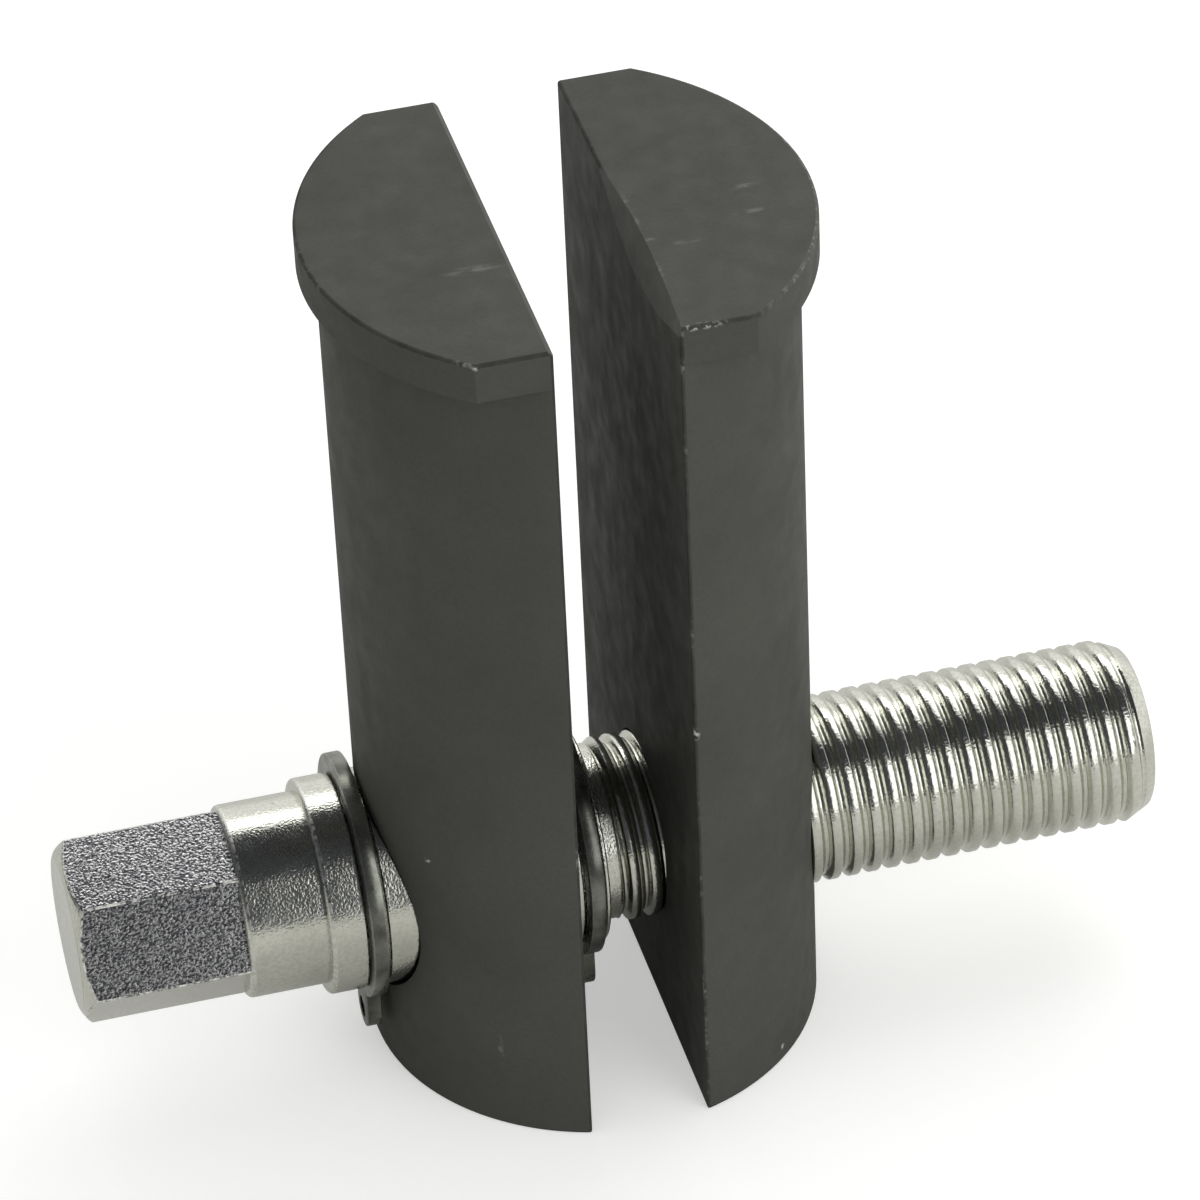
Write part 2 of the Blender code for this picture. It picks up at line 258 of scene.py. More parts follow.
def highest(material, values):
    most = values[0]
    for value in values[1:]:
        most = node(material, "Math", {"operation": "MAXIMUM"}, i0=most, i1=value).outputs[0]
    return most


# %% [markdown]
# Some wear belongs to one place, and some to whole faces. A soft spot is a ramp on the distance from a
# point, measured in the spot's own size along each axis. What belongs to faces was marked while they
# were made, and an attribute node reads the mark back.


# %% A soft spot at one place, and the mark that a face carries
def spot(material, place, size):
    here = node(material, "TexCoord").outputs["Object"]
    offset = node(material, "VectorMath", {"operation": "SUBTRACT"}, i0=here, i1=Vector(place) * MM)
    scaled = node(
        material, "VectorMath", {"operation": "DIVIDE"}, i0=offset.outputs[0], i1=Vector(size) * MM,
    )
    away = node(material, "VectorMath", {"operation": "LENGTH"}, i0=scaled.outputs[0]).outputs["Value"]
    return ramp(material, away, 0.3, 1.0, 1.0, 0.0)


def mark(material, name):
    return node(material, "Attribute", {"attribute_name": name}).outputs["Fac"]


# %% [markdown]
# Black oxide is a thin conversion coat that leaves steel a warm, dark grey, almost matt. Up close it
# is never even: there are broad cloudy patches and a fine grain from the ground steel below. The
# broken edges hold the coat and look darker than the faces, except from about 7 mm right of the
# gap's middle, where they are coloured pale, and the ground faces are coloured a little lighter. A few
# knocks show bare steel. The scuffs are where a drift or the bench has touched the tool: some short
# streaks on the tops, a nick at each front corner, a few specks on the round sides. A list of places,
# each with a soft spot of its own size, puts them where they belong, and noise breaks up their outlines.

# %% Where the jaws are scuffed: place and half size in millimetres
SCUFFS = [
    ((12.0, -1.0, 71.5), (1.4, 0.45, 0.5)),
    ((11.6, -4.2, 71.5), (1.6, 0.35, 0.5)),
    ((6.1, -6.6, 71.5), (1.5, 0.4, 0.5)),
    ((3.8, -5.6, 71.5), (0.5, 0.4, 0.5)),
    ((-9.0, -5.4, 71.5), (2.6, 0.6, 0.5)),
    ((-12.2, -13.9, 7.4), (0.25, 0.6, 1.9)),
    ((3.4, -2.0, 71.5), (0.4, 3.4, 0.3)),
    ((3.3, -9.5, 71.5), (0.4, 2.5, 0.3)),
]
NICKS = [
    ((4.5, -16.9, 71.4), (1.9, 0.4, 0.35)),
    ((-11.7, -16.9, 71.4), (0.4, 0.4, 0.4)),
    ((2.9, -16.9, 36.0), (0.5, 0.5, 0.7)),
    ((-16.0, -9.8, 23.4), (0.35, 0.35, 0.35)),
    ((9.8, -13.1, 1.4), (0.4, 0.4, 0.4)),
]


# %% Black oxide on the jaws
def black_oxide(name):
    material, shader = new_finish(name)
    clouds = ramp(material, noise(material, 75, 4), 0.35, 0.65)
    coat = blend_colours(material, clouds, (0.061, 0.061, 0.054, 1), (0.072, 0.072, 0.064, 1))
    grain = ramp(material, noise(material, 3200, 2), 0.35, 0.65)
    coat = blend_colours(material, multiply(material, grain, 0.2), coat, (0.040, 0.040, 0.036, 1))
    # The ground faces are coloured a little lighter, in patches.
    ground_patches = ramp(material, noise(material, 700, 3), 0.3, 0.7, 0.7, 1.0)
    ground = multiply(material, mark(material, "ground"), ground_patches)
    coat = blend_colours(material, ground, coat, (0.118, 0.118, 0.108, 1))
    wear_and_highlight = mark(material, "edge_wear_and_highlight")
    held = ramp(material, noise(material, 500, 3), 0.35, 0.65, 0.3, 0.8)
    here = node(material, "TexCoord").outputs["Object"]
    along = node(material, "SeparateXYZ", Vector=here).outputs["X"]
    # The edge colour goes from dark to pale between 7 and 13 mm along X.
    paler_to_right = ramp(material, along, 7 * MM, 13 * MM)
    specks = ramp(material, noise(material, 2400, 3), 0.50, 0.62)
    pale = blend_colours(material, specks, (0.105, 0.105, 0.095, 1), (0.26, 0.26, 0.24, 1))
    edge = blend_colours(material, paler_to_right, (0.030, 0.030, 0.028, 1), pale)
    coat = blend_colours(material, multiply(material, wear_and_highlight, held), coat, edge)
    knocked = multiply(
        material,
        ramp(material, noise(material, 1300, 3), 0.52, 0.62),
        ramp(material, noise(material, 140, 2), 0.54, 0.66, 0.0, 0.7),
    )
    coat = blend_colours(material, multiply(material, wear_and_highlight, knocked), coat, (0.22, 0.22, 0.20, 1))
    streaks = ramp(material, noise(material, 1500, 4, (0.5, 1.6, 1)), 0.44, 0.60)
    scuffed = multiply(material, highest(material, [spot(material, *scuff) for scuff in SCUFFS]), streaks)
    coat = blend_colours(material, multiply(material, scuffed, 0.6), coat, (0.17, 0.17, 0.16, 1))
    chips = ramp(material, noise(material, 2600, 3), 0.50, 0.60)
    nicked = highest(material, [spot(material, *nick) for nick in NICKS])
    coat = blend_colours(material, multiply(material, nicked, chips), coat, (0.40, 0.40, 0.38, 1))
    link(material, coat, shader.inputs["Base Color"])
    roughness = ramp(material, noise(material, 500, 3), 0.3, 0.7, 0.52, 0.68)
    link(material, roughness, shader.inputs["Roughness"])
    bump = node(material, "Bump", Strength=0.35, Distance=0.02 * MM, Height=noise(material, 3600, 3))
    link(material, bump.outputs["Normal"], shader.inputs["Normal"])
    shader.inputs["Specular IOR Level"].default_value = 0.15
    return material


# %% [markdown]
# The screw is zinc plated. The plating is a pale, slightly warm metal that mirrors the studio, but it
# lies over a grain like very fine sand, so wherever the room changes from light to dark its
# reflection breaks into sparkling dots. A bump with a grain of about a fifth of a millimetre does that
# by itself: where the room is even, as over the floor, the grain hardly shows. The hexagon is plated
# as it was drawn, so its faces, marked `drawn`, are coarser and darker than the turned ones. All
# rounded edges are coloured pale and matt, partly wear and partly painted highlight; on the hexagon
# they also lose their metal, so there they show as painted bright lines.


# %% Zinc plate on the screw
def zinc_plate(name):
    material, shader = new_finish(name)
    drawn = mark(material, "drawn")
    patches = ramp(material, noise(material, 160, 4), 0.35, 0.65)
    metal = blend_colours(material, patches, (0.64, 0.64, 0.565, 1), (0.73, 0.73, 0.65, 1))
    pits = ramp(material, noise(material, 5000, 2), 0.42, 0.58)
    drawn_metal = blend_colours(material, pits, (0.12, 0.12, 0.13, 1), (0.55, 0.55, 0.54, 1))
    mottle = ramp(material, noise(material, 3600, 3), 0.42, 0.60, 0.0, 0.35)
    metal = blend_colours(material, mottle, metal, (0.46, 0.46, 0.41, 1))
    metal = blend_colours(material, drawn, metal, drawn_metal)
    spots = ramp(material, noise(material, 1500, 3), 0.66, 0.74)
    metal = blend_colours(material, multiply(material, spots, 0.4), metal, (0.25, 0.25, 0.23, 1))
    # Painted highlight, partly wear: the rounded edges are coloured pale and made matt.
    wear_and_highlight = mark(material, "edge_wear_and_highlight")
    wear_and_highlight = multiply(material, wear_and_highlight, ramp(material, noise(material, 2200, 3), 0.40, 0.60, 0.1, 1.0))
    metal = blend_colours(material, wear_and_highlight, metal, (0.80, 0.80, 0.74, 1))
    link(material, metal, shader.inputs["Base Color"])
    polish = ramp(material, noise(material, 700, 3), 0.3, 0.7, 0.12, 0.2)
    roughness = node(material, "Mix", i0=wear_and_highlight, i2=polish, i3=0.45).outputs[0]
    link(material, roughness, shader.inputs["Roughness"])
    grain = node(material, "MapRange", Value=drawn, To_Min=0.5, To_Max=0.7).outputs["Result"]
    sand = node(material, "Bump", Strength=grain, Distance=0.05 * MM, Height=noise(material, 5000, 2))
    link(material, sand.outputs["Normal"], shader.inputs["Normal"])
    # Painted highlight: on the hexagon's rounded edges the metal is turned down, so their pale colour shows
    # as bright lines.
    painted_highlight = multiply(material, wear_and_highlight, drawn)
    link(material, ramp(material, painted_highlight, 0.0, 1.0, 1.0, 0.2), shader.inputs["Metallic"])
    return material


# %% [markdown]
# The two retaining rings are stamped from spring steel and only oiled, so they are darker and
# smoother than the jaws, and the rounded edges of the rim carry a painted grey highlight.


# %% Oiled spring steel on the rings
def spring_steel(name):
    material, shader = new_finish(name)
    cloud = ramp(material, noise(material, 400, 4), 0.35, 0.65)
    steel = blend_colours(material, cloud, (0.09, 0.09, 0.08, 1), (0.24, 0.25, 0.21, 1))
    # Painted highlight: the rounded rim edges are coloured a paler grey.
    wear_and_highlight = multiply(material, mark(material, "edge_wear_and_highlight"), 0.5)
    steel = blend_colours(material, wear_and_highlight, steel, (0.34, 0.34, 0.32, 1))
    link(material, steel, shader.inputs["Base Color"])
    roughness = ramp(material, noise(material, 1200, 3), 0.3, 0.7, 0.22, 0.32)
    link(material, roughness, shader.inputs["Roughness"])
    bump = node(material, "Bump", Strength=0.3, Distance=0.02 * MM, Height=noise(material, 4200, 2))
    link(material, bump.outputs["Normal"], shader.inputs["Normal"])
    shader.inputs["Metallic"].default_value = 0.9
    return material


# %% [markdown]
# Each finish is made once and shared by the pieces that have it, as parts come out of one bath.

# %% Make the three finishes
JAW_FINISH = black_oxide("black oxide")
SCREW_FINISH = zinc_plate("zinc plate")
RING_FINISH = spring_steel("oiled spring steel")
print("finishes:", JAW_FINISH.name, "-", SCREW_FINISH.name, "-", RING_FINISH.name)

# %% [markdown]
# ## The jaws
#
# Seen from above, a jaw is the end of a round bar cut off flat. One vertex is spun along the arc, which
# leaves a chain of edges, and the chain is closed, filled and pushed up into a prism. The lip is a
# second prism, a little deeper, with a short flat at each end. Both get their edges rounded before
# they are joined, so that the bevel never has to cross the inner corner under the lip.


# %% Draw a half-round plan and raise it
JAW_EDGE = 0.25 * MM


def push_up(bm, plan, vector):
    raised = bmesh.ops.extrude_face_region(bm, geom=plan, use_keep_orig=True)["geom"]
    top = [v for v in raised if isinstance(v, bmesh.types.BMVert)]
    bmesh.ops.translate(bm, verts=top, vec=vector)
    bmesh.ops.recalc_face_normals(bm, faces=bm.faces)


def half_round(name, flat, side, start_depth, depth, low, high, steps, sharp_end):
    bm = bmesh.new()
    rise = depth - start_depth
    radius = (JAW_HALF_WIDTH ** 2 + rise ** 2) / (2 * rise)
    reach = math.atan2(JAW_HALF_WIDTH, radius - rise)
    first = bm.verts.new((flat + side * start_depth, -JAW_HALF_WIDTH, low))
    swept = bmesh.ops.spin(
        bm, geom=[first], cent=(flat + side * (depth - radius), 0, low), axis=(0, 0, 1),
        dvec=(0, 0, 0), angle=side * 2 * reach, steps=steps, use_duplicate=False,
    )
    last = swept["geom_last"][0]
    chain = [last, first]
    if start_depth:
        corners = [bm.verts.new((flat, y, low)) for y in (JAW_HALF_WIDTH, -JAW_HALF_WIDTH)]
        chain = [last, *corners, first]
    for one, other in zip(chain, chain[1:]):
        bm.edges.new((one, other))
    plan = bmesh.ops.edgeloop_fill(bm, edges=bm.edges)["faces"]
    push_up(bm, plan, (0, 0, high - low))

    def away_from_sharp_end(edge):
        return abs(edge.verts[0].co.z + edge.verts[1].co.z - 2 * sharp_end) > MM

    round_edges(bm, JAW_EDGE, away_from_sharp_end, sharper_than=50)
    return solid(bm, name)


# %% [markdown]
# Each top inner edge is ground off. The left jaw has an even chamfer. On the right jaw the grinding
# is a long, steep relief as deep as the lip, which starts near the middle and runs out at the front
# corner. The cutter for either is the convex hull of a row of triangles along the edge, and each
# triangle says how wide and how deep the cut is at its place. Its faces carry a mark, `ground`,
# which the cut faces of the jaw inherit, and the finish colours those faces a little lighter.


# %% Grind the top inner edge
def grind_top_edge(jaw, flat, side, cuts):
    bm = bmesh.new()
    past = 1.0 * MM
    for y, width, depth in cuts:
        slope = depth / width
        outside = (width * MM + past / slope, past)
        below = (-past, -depth * MM - past * slope)
        for x, z in (outside, (-past, past), below):
            bm.verts.new((flat + side * x, y * MM, JAW_TOP + z))
    bmesh.ops.convex_hull(bm, input=bm.verts)
    ground = bm.faces.layers.float.new("ground")
    for face in bm.faces:
        face[ground] = 1.0
    combine(jaw, solid(bm, "grinding wedge"), "DIFFERENCE")


# %% [markdown]
# With both tools at hand, one function builds either jaw but for its cross hole. The jaw's body ends
# inside the lip, so the two prisms overlap and the union leaves one clean skin. Each row of cuts gives
# a place along Y with the width and the depth of the grinding there, in millimetres.


# %% Build a jaw without its cross hole
BODY_DEPTH = 12.8 * MM
BODY_STEPS = 96
LIP_HEIGHT = 3.1 * MM
LIP_FLAT = 5.6 * MM
LIP_DEPTH = BODY_DEPTH + 1.3 * MM
LIP_STEPS = 72
LEFT_CUTS = [(18, 0.4, 0.4), (-18, 0.4, 0.4)]
RIGHT_CUTS = [
    (5, 0.02, 0.1), (1, 0.38, 2.1), (-3, 0.6, 3.3), (-7, 0.6, 3.3), (-11, 0.5, 2.75), (-18, 0.08, 0.44),
]


def jaw_blank(name, flat, side, cuts):
    under_lip = JAW_TOP - LIP_HEIGHT
    inside_lip = under_lip + LIP_HEIGHT / 2
    jaw = half_round(name, flat, side, 0, BODY_DEPTH, 0, inside_lip, BODY_STEPS, inside_lip)
    lip = half_round("lip", flat, side, LIP_FLAT, LIP_DEPTH, under_lip, JAW_TOP, LIP_STEPS, under_lip)
    combine(jaw, lip, "UNION")
    grind_top_edge(jaw, flat, side, cuts)
    return jaw


# %% [markdown]
# The left jaw has a plain cross hole in which the screw's journal turns. Where the hole breaks
# through the round side, its rim is a saddle curve, and both rims are slightly rounded.


# %% The left jaw
JOURNAL_RADIUS = 8.3
BORE_RADIUS = JOURNAL_RADIUS + 0.3


def on_rim(radius, slack=0.05):
    def at_radius(vertex):
        from_axis = math.hypot(vertex.co.y, vertex.co.z - AXIS.z) / MM
        return abs(from_axis - radius) < slack

    return lambda edge: all(at_radius(vertex) for vertex in edge.verts)


left_jaw = jaw_blank("left_jaw_piece", LEFT_FLAT, -1, LEFT_CUTS)
bore = turned("bore", [(-25, 0), (-25, BORE_RADIUS), (0, BORE_RADIUS), (0, 0)])
combine(left_jaw, bore, "DIFFERENCE")
round_edges_of(left_jaw, 0.2 * MM, on_rim(BORE_RADIUS), segments=2)
finish_piece(left_jaw, JAW_FINISH, "left_jaw_body", "left_jaw")

# %% [markdown]
# ## The thread
#
# A screw thread is a groove that climbs along a helix. The spin operator can climb as it turns, so
# one pitch of the outline, from the middle of one root to the middle of the next, becomes the whole
# thread: after each turn the sweep meets itself, and merging the doubles welds turn to turn.
# The crests are broad and their corners slightly rounded, as rolled and plated threads are.

# %% Thread measures
PITCH = 1.5875
THREAD_RADIUS = 14.2875 / 2
CREST = 0.47 * PITCH
ROOT = 0.125 * PITCH
FLANK = math.tan(math.radians(30))
DEPTH = (PITCH - CREST - ROOT) / 2 / FLANK
CORE_RADIUS = THREAD_RADIUS - DEPTH
THREAD_START = 0.9
THREAD_END = 43.6
THREAD_STEPS = 72
print("thread:", 2 * THREAD_RADIUS, "mm, pitch", PITCH, "mm, core", round(2 * CORE_RADIUS, 2), "mm")


# %% Sweep one pitch of an outline up the helix
def threaded_bar(name, start, turns, half_outline):
    bm = bmesh.new()
    rising = [(-x, r) for x, r in reversed(half_outline)]
    outline = rising + list(half_outline)
    outline.append((PITCH + outline[0][0], outline[0][1]))
    points = [bm.verts.new((GAP_MIDDLE + (start + x) * MM, 0, AXIS.z - r * MM)) for x, r in outline]
    for one, other in zip(points, points[1:]):
        bm.edges.new((one, other))
    bmesh.ops.spin(
        bm, geom=[*bm.verts, *bm.edges], cent=AXIS, axis=(1, 0, 0),
        dvec=(PITCH / THREAD_STEPS * MM, 0, 0), angle=2 * math.pi * turns,
        steps=turns * THREAD_STEPS, use_duplicate=False,
    )
    bmesh.ops.remove_doubles(bm, verts=bm.verts, dist=MERGE)
    rim = [edge for edge in bm.edges if edge.is_boundary]
    caps = bmesh.ops.holes_fill(bm, edges=rim, sides=0)["faces"]
    for centre in bmesh.ops.poke(bm, faces=caps)["verts"]:
        centre.co.y = AXIS.y
        centre.co.z = AXIS.z
    return solid(bm, name)


# %% [markdown]
# The right jaw is tapped with the same helix, grown by a small clearance, so the two threads stay
# in step. The tap is a threaded bar too, and it is cut out of the jaw.

# %% The right jaw
CLEARANCE = 0.15
TAP_RADIUS = THREAD_RADIUS + CLEARANCE
TAP_CORE = CORE_RADIUS + 0.2
TAP_TURNS = 13
tap_crest = CREST / 2 + CLEARANCE * (1 / math.cos(math.radians(30)) - FLANK)
tap_outline = [(tap_crest, TAP_RADIUS), (tap_crest + (TAP_RADIUS - TAP_CORE) * FLANK, TAP_CORE)]

right_jaw = jaw_blank("right_jaw_piece", RIGHT_FLAT, 1, RIGHT_CUTS)
combine(right_jaw, threaded_bar("tap", THREAD_START, TAP_TURNS, tap_outline), "DIFFERENCE")
finish_piece(right_jaw, JAW_FINISH, "right_jaw_body", "right_jaw")

# %% [markdown]
# ## The screw
#
# The screw is one piece of steel: a hexagon, a shoulder, a collar with its journal, two ring
# grooves, a plain neck and the thread. Everything round on it is one spun profile, given as stations
# along X with a radius each. The lathe's chamfers are rounded afterwards, each rim by its own width.

# %% The turned shank
SHOULDER_RADIUS = 7.4
GROOVE_RADIUS = JOURNAL_RADIUS - 0.7
NECK_RADIUS = 6.8
SHANK = [
    (-27.8, 0), (-27.8, SHOULDER_RADIUS), (-21.7, SHOULDER_RADIUS), (-21.7, JOURNAL_RADIUS),
    (-18.9, JOURNAL_RADIUS), (-18.9, GROOVE_RADIUS), (-17.3, GROOVE_RADIUS), (-17.3, JOURNAL_RADIUS),
    (-2.2, JOURNAL_RADIUS), (-2.2, GROOVE_RADIUS), (-0.6, GROOVE_RADIUS), (-0.6, JOURNAL_RADIUS),
    (-0.2, JOURNAL_RADIUS), (-0.2, NECK_RADIUS), (0.9, NECK_RADIUS), (1.25, CORE_RADIUS - 0.14),
    (1.25, 0),
]


def in_front_of(x, radius):
    rim = on_rim(radius)
    return lambda edge: rim(edge) and (edge.verts[0].co.x - GAP_MIDDLE) / MM < x


screw = turned("screw_piece", SHANK)
round_edges_of(screw, 0.42 * MM, in_front_of(-27, SHOULDER_RADIUS), segments=3)
round_edges_of(screw, 0.35 * MM, in_front_of(-21, JOURNAL_RADIUS), segments=3)
round_edges_of(screw, 0.12 * MM, on_rim(JOURNAL_RADIUS), segments=1)

# %% [markdown]
# The hexagon fits a wrench. It starts as a six-sided prism, laid along X by the matrix of the operator
# that makes it, and its long edges are rounded. One flat, at the front and below, is worn nearly as
# smooth as the turned parts.

# %% The hexagon
HEX_CORNER = 12.7 / 2 / math.cos(math.pi / 6)
HEX_START = -40.3
HEX_TURN = math.radians(9)
HEX_BAR = 14
ALONG_X = Matrix.Rotation(math.radians(90), 4, "Y")

bm = bmesh.new()
bmesh.ops.create_cone(
    bm, cap_ends=True, segments=6, radius1=HEX_CORNER * MM, radius2=HEX_CORNER * MM, depth=HEX_BAR * MM,
    matrix=Matrix.Translation((GAP_MIDDLE + (HEX_START + HEX_BAR / 2) * MM, 0, AXIS.z))
    @ ALONG_X @ Matrix.Rotation(HEX_TURN, 4, "Z"),
)
round_edges(bm, 0.12 * MM, lambda e: abs(e.verts[0].co.x - e.verts[1].co.x) > 5 * MM, segments=2)
drawn = bm.faces.layers.float.new("drawn")
for face in bm.faces:
    front_below = face.normal.y < -0.5 and face.normal.z < 0
    if abs(face.normal.x) > 0.5:
        face[drawn] = 0.0
    else:
        face[drawn] = 0.15 if front_below else 1.0
hexagon = solid(bm, "hexagon")
print("hexagon: 12.7 mm across flats,", round(2 * HEX_CORNER, 2), "mm across corners")

# %% [markdown]
# The hexagon's end is turned down on the lathe, which is why each of its flats ends in a curve.
# Intersecting the prism with a chamfered bar makes those curves exactly. The curved rim is rounded a
# little, and all rounded edges of the hexagon are marked `drawn` too, so that the finish paints a pale,
# matt highlight on them.

# %% Turn down the hexagon's end
end_bar = turned("end bar", [
    (HEX_START, 0), (HEX_START, HEX_CORNER - 1.45), (HEX_START + 0.1, HEX_CORNER - 1.2),
    (HEX_START + 0.9, HEX_CORNER + 0.1), (HEX_START + 1.6, HEX_CORNER + 1.2), (-26.5, HEX_CORNER + 1.2),
    (-26.5, 0),
])
combine(hexagon, end_bar, "INTERSECT")
rim_end = GAP_MIDDLE + (HEX_START + 2.5) * MM
round_edges_of(hexagon, 0.09 * MM, lambda e: max(v.co.x for v in e.verts) < rim_end, segments=2, clamp=False)
marks = hexagon.data.attributes
painted_highlight = 0
# The hexagon's rounded edges are marked drawn, so the finish paints a pale highlight on them.
for drawn_mark, edge_highlight_mark in zip(marks["drawn"].data, marks["edge_wear_and_highlight"].data):
    if edge_highlight_mark.value > 0.5:
        drawn_mark.value = 1.0
        painted_highlight += 1
print("hexagon:", painted_highlight, "scoured faces")
combine(screw, hexagon, "UNION")

# %% [markdown]
# The bar is turned down to a cone at each end before it is threaded, so the first crest rises out of
# the neck little by little, and the far end slips into a nut. Intersecting the thread with such a
# coned bar gives both ends at once.

# %% The threaded bar, and the finished screw
thread_outline = [
    (CREST / 2 - 0.09, THREAD_RADIUS - 0.005), (CREST / 2, THREAD_RADIUS - 0.055),
    (CREST / 2 + (DEPTH - 0.12) * FLANK, CORE_RADIUS + 0.055), (PITCH / 2 - 0.05, CORE_RADIUS),
]
thread_turns = math.ceil((THREAD_END - THREAD_START) / PITCH) + 3
thread = threaded_bar("threaded bar", THREAD_START - 2 * PITCH, thread_turns, thread_outline)
coned_bar = turned("coned bar", [
    (0.6, 0), (0.6, CORE_RADIUS - 0.15), (1.7, THREAD_RADIUS + 0.1), (2.5, 9), (THREAD_END - 5.7, 9),
    (THREAD_END - 0.12, THREAD_RADIUS - 0.86), (THREAD_END, THREAD_RADIUS - 1.0), (THREAD_END, 0),
])
combine(thread, coned_bar, "INTERSECT")
combine(screw, thread, "UNION")
finish_piece(screw, SCREW_FINISH, "screw_body", "expander_screw", hard_angle=32)

# %% [markdown]
# ## The retaining rings
#
# A retaining ring is a stamped, open ring that springs into a groove. It is widest opposite its
# opening, and ends in two ears with a hole each for the pliers. Its plan is drawn as one closed
# chain of vertices round the ring and its ears, each hole is a short round bar cut out of it, and
# the rim's edges are rounded as stamping leaves them.

# %% Ring measures
RING_INNER = GROOVE_RADIUS + 0.2
RING_OUTER = RING_INNER + 1.6
RING_OFFSET = 0.4
EAR_RADIUS = 1.6
HOLE_RADIUS = 0.85
RING_EDGE = 0.12 * MM
RING_STEPS = 120
EAR_STEPS = 16
EAR_CENTRE = RING_INNER + 4.0 - EAR_RADIUS
EAR_SIDE = 1.3 + EAR_RADIUS
OPENING = math.asin(1.3 / RING_INNER)
LOBE = math.atan2(EAR_SIDE + EAR_RADIUS, EAR_CENTRE) + 0.08
print("ring:", round(2 * RING_INNER, 1), "mm inside,", round(2 * RING_OUTER, 1), "mm outside")


# %% Draw the outline of a ring with four arcs
def swing(bm, x, side, height, radius, start, angle, steps):
    centre = Vector((x, side * MM, AXIS.z + height * MM))
    out = Vector((0, math.cos(start), math.sin(start)))
    first = bm.verts.new(centre + out * radius * MM)
    swept = bmesh.ops.spin(
        bm, geom=[first], cent=centre, axis=(1, 0, 0), dvec=(0, 0, 0), angle=angle, steps=steps,
        use_duplicate=False,
    )
    return first, swept["geom_last"][0]


def ring_outline(bm, x):
    down = -math.pi / 2
    arcs = [
        swing(bm, x, 0, RING_OFFSET, RING_OUTER, down + LOBE, 2 * (math.pi - LOBE), RING_STEPS),
        swing(bm, x, -EAR_SIDE, -EAR_CENTRE, EAR_RADIUS, math.pi, math.pi, EAR_STEPS),
        swing(bm, x, 0, 0, RING_INNER, down - OPENING, -2 * (math.pi - OPENING), RING_STEPS),
        swing(bm, x, EAR_SIDE, -EAR_CENTRE, EAR_RADIUS, math.pi, math.pi, EAR_STEPS),
    ]
    for (_, last), (first, _) in zip(arcs, arcs[1:] + arcs[:1]):
        bm.edges.new((last, first))


# %% [markdown]
# Both rings are the same part, so one function stamps them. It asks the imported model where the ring
# is and how thick, raises the outline by that much, and drills the two ears.


# %% Stamp a ring and drill its ears
def retaining_ring(name, cad_node):
    low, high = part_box(cad_node)
    bm = bmesh.new()
    ring_outline(bm, low.x)
    plan = bmesh.ops.edgeloop_fill(bm, edges=bm.edges)["faces"]
    push_up(bm, plan, (high.x - low.x, 0, 0))
    round_edges(bm, RING_EDGE, lambda e: abs(e.verts[0].co.x - e.verts[1].co.x) < 0.1 * MM, segments=2)
    ring = solid(bm, name)
    for side in (-1, 1):
        drill = bmesh.new()
        ear = Vector(((low.x + high.x) / 2, side * EAR_SIDE * MM, AXIS.z - EAR_CENTRE * MM))
        bmesh.ops.create_cone(
            drill, cap_ends=True, segments=32, radius1=HOLE_RADIUS * MM, radius2=HOLE_RADIUS * MM,
            depth=4 * MM, matrix=Matrix.Translation(ear) @ ALONG_X,
        )
        combine(ring, solid(drill, "plier hole"), "DIFFERENCE")
    finish_piece(ring, RING_FINISH, "screw_body", cad_node)


# %% Make both rings
retaining_ring("outer_ring_piece", "outer_retaining_ring")
retaining_ring("inner_ring_piece", "inner_retaining_ring")

# %% [markdown]
# ## The studio
#
# The tool stands on a plain pale floor. The floor is a matt grey-white that keeps the soft shadow, with
# just enough glow for the camera to meet the white behind it.

# %% The floor
FLOOR_GLOW = 0.42

bm = bmesh.new()
bmesh.ops.create_grid(bm, x_segments=1, y_segments=1, size=3.0)
floor = solid(bm, "floor")
floor_paint, paint = new_finish("floor paint")
paint.inputs["Base Color"].default_value = (0.68, 0.68, 0.66, 1)
paint.inputs["Roughness"].default_value = 0.9
paint.inputs["Specular IOR Level"].default_value = 0.1
seen = node(floor_paint, "LightPath").outputs["Is Camera Ray"]
paint.inputs["Emission Color"].default_value = (1, 1, 1, 1)
link(floor_paint, multiply(floor_paint, seen, FLOOR_GLOW), paint.inputs["Emission Strength"])
floor.data.materials.append(floor_paint)

# %% [markdown]
# To the camera, and in mirror reflections, the surroundings are white, while the light that they throw
# on the tool stays at a plain level. A light path node tells these rays apart, so the background's
# white never has to be bought with more light on the tool.

# %% The surroundings
AMBIENT = 0.74
BACKDROP = 1.0

world = bpy.data.worlds.new("studio")
bpy.context.scene.world = world
world.use_nodes = True
world.node_tree.nodes.clear()
rays = node(world, "LightPath").outputs
white_rays = highest(world, [rays["Is Glossy Ray"], rays["Is Transmission Ray"], rays["Is Camera Ray"]])
ambient = node(world, "Background", Color=(1, 1, 1, 1), Strength=AMBIENT)
backdrop = node(world, "Background", Color=(1, 1, 1, 1), Strength=BACKDROP)
either = node(world, "MixShader", Fac=white_rays, i1=ambient.outputs[0], i2=backdrop.outputs[0])
node(world, "OutputWorld", Surface=either.outputs[0])
print("surroundings:", AMBIENT, "for the light,", BACKDROP, "for the camera and for mirrors")

# %% [markdown]
# Bright metal looks like metal because it mirrors something dark as well as something light. A
# photographer hangs dark cards for that. One card here is a long shell over and in front of the
# tool, and one stands at its left, where the turned chamfers look. Only mirror reflections see
# them, so they take no light away.


# %% Hang a card that only mirror reflections see
def hang_card(name, bm):
    card = solid(bm, name)
    card.data.materials.append(card_felt)
    for ray in ("camera", "diffuse", "transmission", "volume_scatter", "shadow"):
        setattr(card, "visible_" + ray, False)


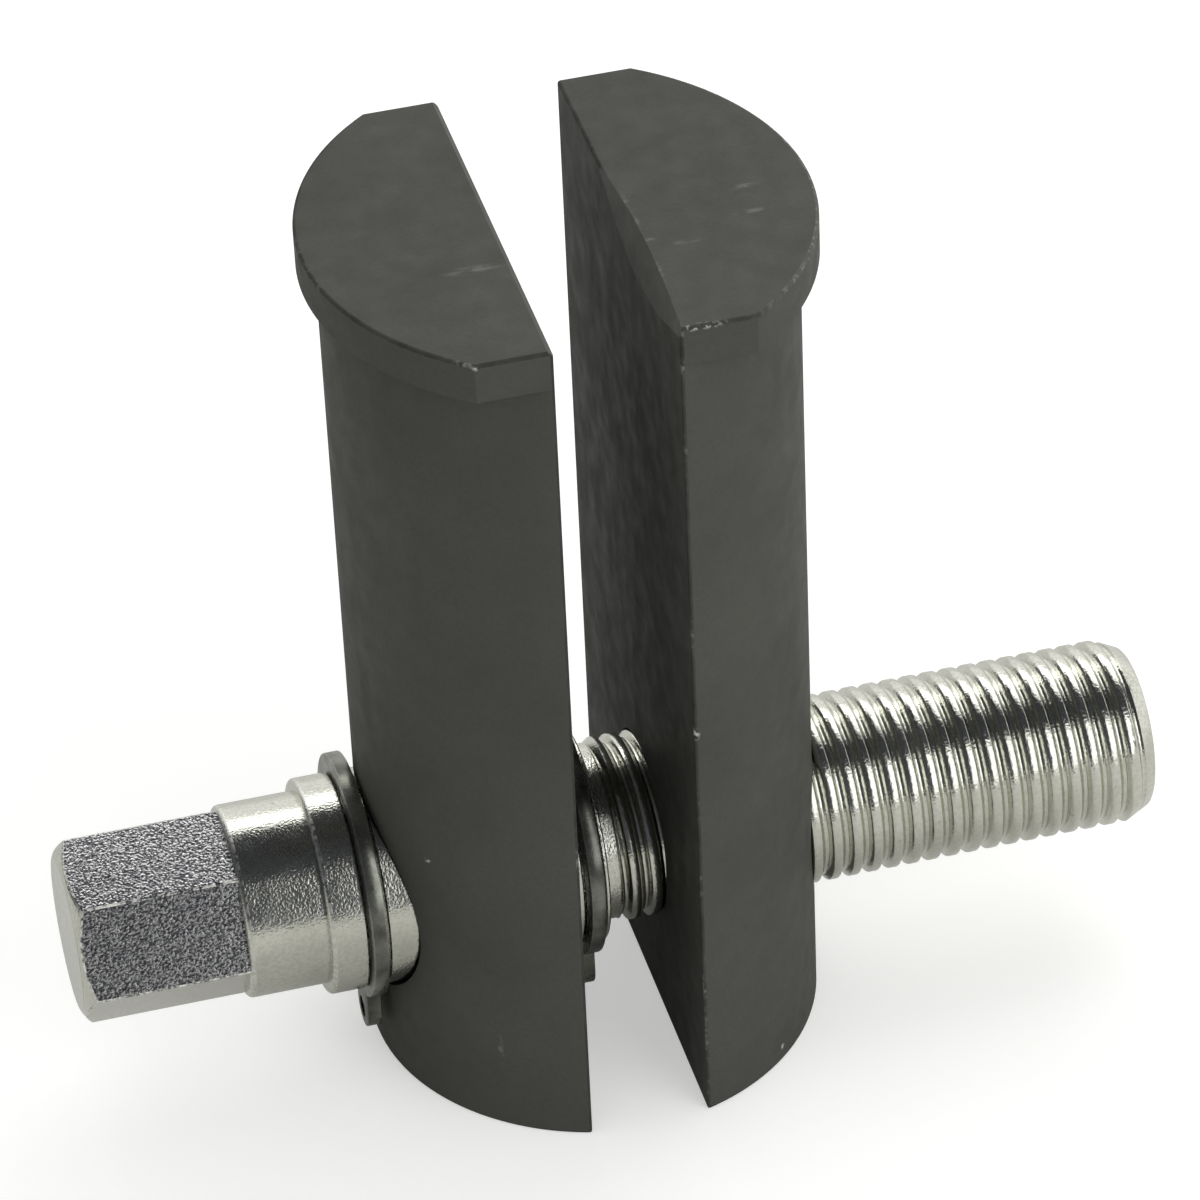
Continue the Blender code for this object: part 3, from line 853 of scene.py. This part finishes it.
card_felt = bpy.data.materials.new("dark felt")
card_felt.use_nodes = True
card_felt.node_tree.nodes.clear()
height = node(card_felt, "SeparateXYZ", Vector=node(card_felt, "TexCoord").outputs["Object"])
level = ramp(card_felt, height.outputs["Z"], 0.25, 0.85, 0.10, 0.05)
felt = node(card_felt, "Emission", Color=(0.9, 0.95, 1.1, 1), Strength=level)
node(card_felt, "OutputMaterial", Surface=felt.outputs[0])

# %% The long shell
CARD_RADIUS = 0.9
CARD_FROM = math.radians(53)
CARD_TO = math.radians(179.3)

shell = bmesh.new()
rim = CARD_RADIUS * Vector((0, math.cos(CARD_FROM), math.sin(CARD_FROM)))
shell.edges.new([shell.verts.new(rim + Vector((x, 0, 0))) for x in (-1.4, 1.4)])
bmesh.ops.spin(
    shell, geom=[*shell.verts, *shell.edges], cent=(0, 0, 0), axis=(1, 0, 0), dvec=(0, 0, 0),
    angle=CARD_TO - CARD_FROM, steps=24, use_duplicate=False,
)
hang_card("dark_shell", shell)

# %% The card at the left
side = bmesh.new()
bmesh.ops.create_grid(
    side, x_segments=1, y_segments=1, size=0.5,
    matrix=Matrix.Translation((-0.6, 0.25, 0.32)) @ ALONG_X @ Matrix.Diagonal((0.6, 1.4, 1, 1)),
)
hang_card("dark_side", side)

# %% [markdown]
# Three softboxes light the tool. A strip behind and above draws the white line along the top of the
# screw, a taller box at its right widens that line on the thread, and a box in front on the right
# gives the thread its bright band and the rest of the screw its sparkle.


# %% Softboxes
def softbox(name, place, aim, width, height, power):
    lamp = bpy.data.lights.new(name, "AREA")
    lamp.shape = "RECTANGLE"
    lamp.size = width
    lamp.size_y = height
    lamp.energy = power
    obj = bpy.data.objects.new(name, lamp)
    bpy.context.scene.collection.objects.link(obj)
    obj.location = place
    obj.rotation_euler = Vector(aim).to_track_quat("-Z", "Y").to_euler()
    obj.visible_camera = False
    print(f"{name}: {width} by {height} m, {power} W")


def towards(elevation, distance):
    angle = math.radians(elevation)
    return Vector((0, distance * math.cos(angle), distance * math.sin(angle)))


softbox("back strip", towards(45.5, 0.5) + Vector((0.15, 0, 0)), -towards(45.5, 1), 0.5, 0.13, 0.40)
softbox("back softbox", towards(65, 0.5) + Vector((0.295, 0, 0)), -towards(65, 1), 0.4, 0.22, 0.5)
softbox("front softbox", towards(150, 0.42) + Vector((0.29, 0, 0)), -towards(150, 1), 0.42, 0.40, 0.95)

# %% [markdown]
# ## The camera
#
# The photograph was taken with a long lens from the front left, well above the tool. Place, turn and
# lens were solved from the outline of the jaws and the crests of the thread.

# %% Camera
camera_data = bpy.data.cameras.new("camera")
camera_data.sensor_width = 36
camera_data.lens = 188.825
camera = bpy.data.objects.new("camera", camera_data)
bpy.context.scene.collection.objects.link(camera)
right = Vector((0.966004, -0.255825, -0.037274))
up = Vector((0.182042, 0.570735, 0.800701))
back = Vector((-0.183566, -0.780266, 0.597903))
camera_place = Vector((-0.085457, -0.364506, 0.315999))
camera_turn = Matrix((right, up, back)).transposed().to_4x4()
camera.matrix_world = Matrix.Translation(camera_place) @ camera_turn
camera_data.clip_start = 0.01
bpy.context.scene.camera = camera
bpy.context.scene.view_settings.view_transform = "Standard"
print("camera:", round(camera_place.length, 3), "m from the origin, lens", camera_data.lens, "mm")
